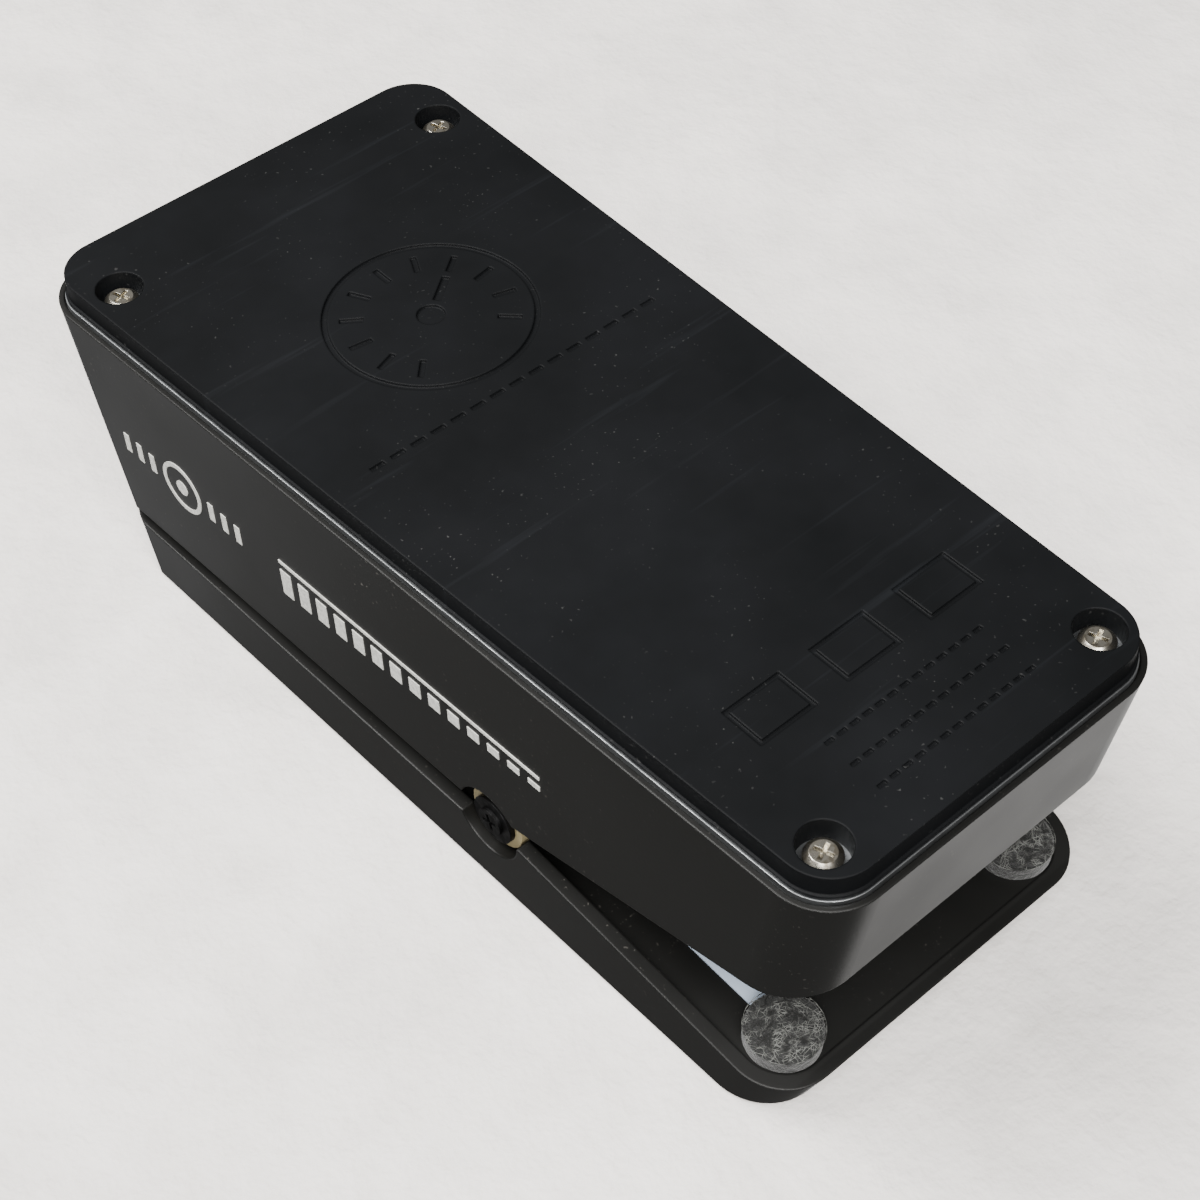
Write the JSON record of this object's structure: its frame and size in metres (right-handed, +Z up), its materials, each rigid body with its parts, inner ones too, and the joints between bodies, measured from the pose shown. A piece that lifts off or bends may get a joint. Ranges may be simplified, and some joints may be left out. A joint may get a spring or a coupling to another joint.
{
  "type": "volume pedal",
  "caption": "Compact rocker foot pedal for volume: tapered cast housing, hinged treadle, band drive to a rotary control, rubber base pad and sockets in the toe wall.",
  "frame": {"origin": "centre of the bounding box at the underside of the rubber pad, z = 0 on the floor", "axes": "+Z up, +Y towards the toe end with the sockets, +X to the player's right; stored upright with the toe down, the joints at 0"},
  "size_m": [0.0838, 0.182, 0.0674],
  "materials": {
    "powder_coat": "satin black powder coat",
    "pad_rubber": "smooth satin",
    "tread_rubber": "matt",
    "zinc_steel": "zinc plated",
    "nickel_screw": "nickel plated, slightly worn",
    "black_steel": "black oxide",
    "axle_steel": "ground",
    "brass": "turned",
    "bush_resin": "filled acetal, ivory",
    "washer_resin": "smooth",
    "felt": "dense felt, dark grey",
    "label_vinyl": "blank vinyl label",
    "band_steel": "spring steel strip",
    "sector_metal": "as cast",
    "black_plastic": "moulded",
    "board_green": "solder mask",
    "film_red": "dipped film capacitor",
    "trim_blue": "moulded",
    "trim_white": "moulded",
    "wire_red": "insulated lead",
    "print_ink": "off-white ink"
  },
  "bodies": {
    "base": {"housing": "powder_coat", "base_plate": "zinc_steel", "base_pad": "pad_rubber", "base_screws": "nickel_screw", "pivot_bushes": "bush_resin", "pot_bracket": "zinc_steel", "bracket_screws": "nickel_screw", "pot_case": "zinc_steel", "pot_nut": "nickel_screw", "pot_washer": "zinc_steel", "pot_lugs": "brass", "input_jack": "black_plastic", "output_jack": "black_plastic", "aux_jack": "black_plastic", "jack_nuts": "nickel_screw", "jack_washers": "zinc_steel", "jack_springs": "brass", "circuit_board": "board_green", "board_capacitors": "film_red", "mode_switch_case": "zinc_steel", "trim_pot_case": "trim_blue", "wiring": "wire_red", "side_print_right": "print_ink"},
    "rocker": {"treadle": "powder_coat", "tread_mat": "tread_rubber", "heel_felt_pads": "felt", "toe_felt_pads": "felt", "underside_label": "label_vinyl", "pivot_axle": "axle_steel", "axle_washers": "black_steel", "axle_end_screws": "black_steel", "axle_set_screws": "black_steel", "thrust_washers": "washer_resin", "sector_arm": "sector_metal", "sector_screws": "nickel_screw", "drive_band_run": "band_steel", "band_clamps": "brass", "band_screws": "nickel_screw"},
    "drum": {"pot_shaft": "axle_steel", "drive_drum": "brass", "drum_set_screw": "black_steel", "drive_band_wrap": "band_steel"},
    "mode_lever": {"mode_switch_lever": "black_plastic"},
    "trim_wheel": {"trim_pot_wheel": "trim_white"}
  },
  "joints": [
    {"name": "treadle_tilt", "type": "hinge", "parent": "base", "child": "rocker", "pos_m": [0, -0.0207, 0.0485], "axis": [1, 0, 0], "range_deg": [0, 21]},
    {"name": "drum_spin", "type": "hinge", "parent": "base", "child": "drum", "pos_m": [0, 0.0261, 0.02466], "axis": [1, 0, 0], "range_deg": [-168, 0]},
    {"name": "mode_slide", "type": "slide", "parent": "base", "child": "mode_lever", "axis": [1, 0, 0], "range_m": [0, 0.002]},
    {"name": "trim_turn", "type": "hinge", "parent": "base", "child": "trim_wheel", "pos_m": [0.016, 0.05295, 0.0137], "axis": [0, -0.2588, 0.9659], "range_deg": [-120, 120]}
  ],
  "couplings": [
    {"joint": "drum_spin", "follows": "treadle_tilt", "ratio": -8}
  ]
}
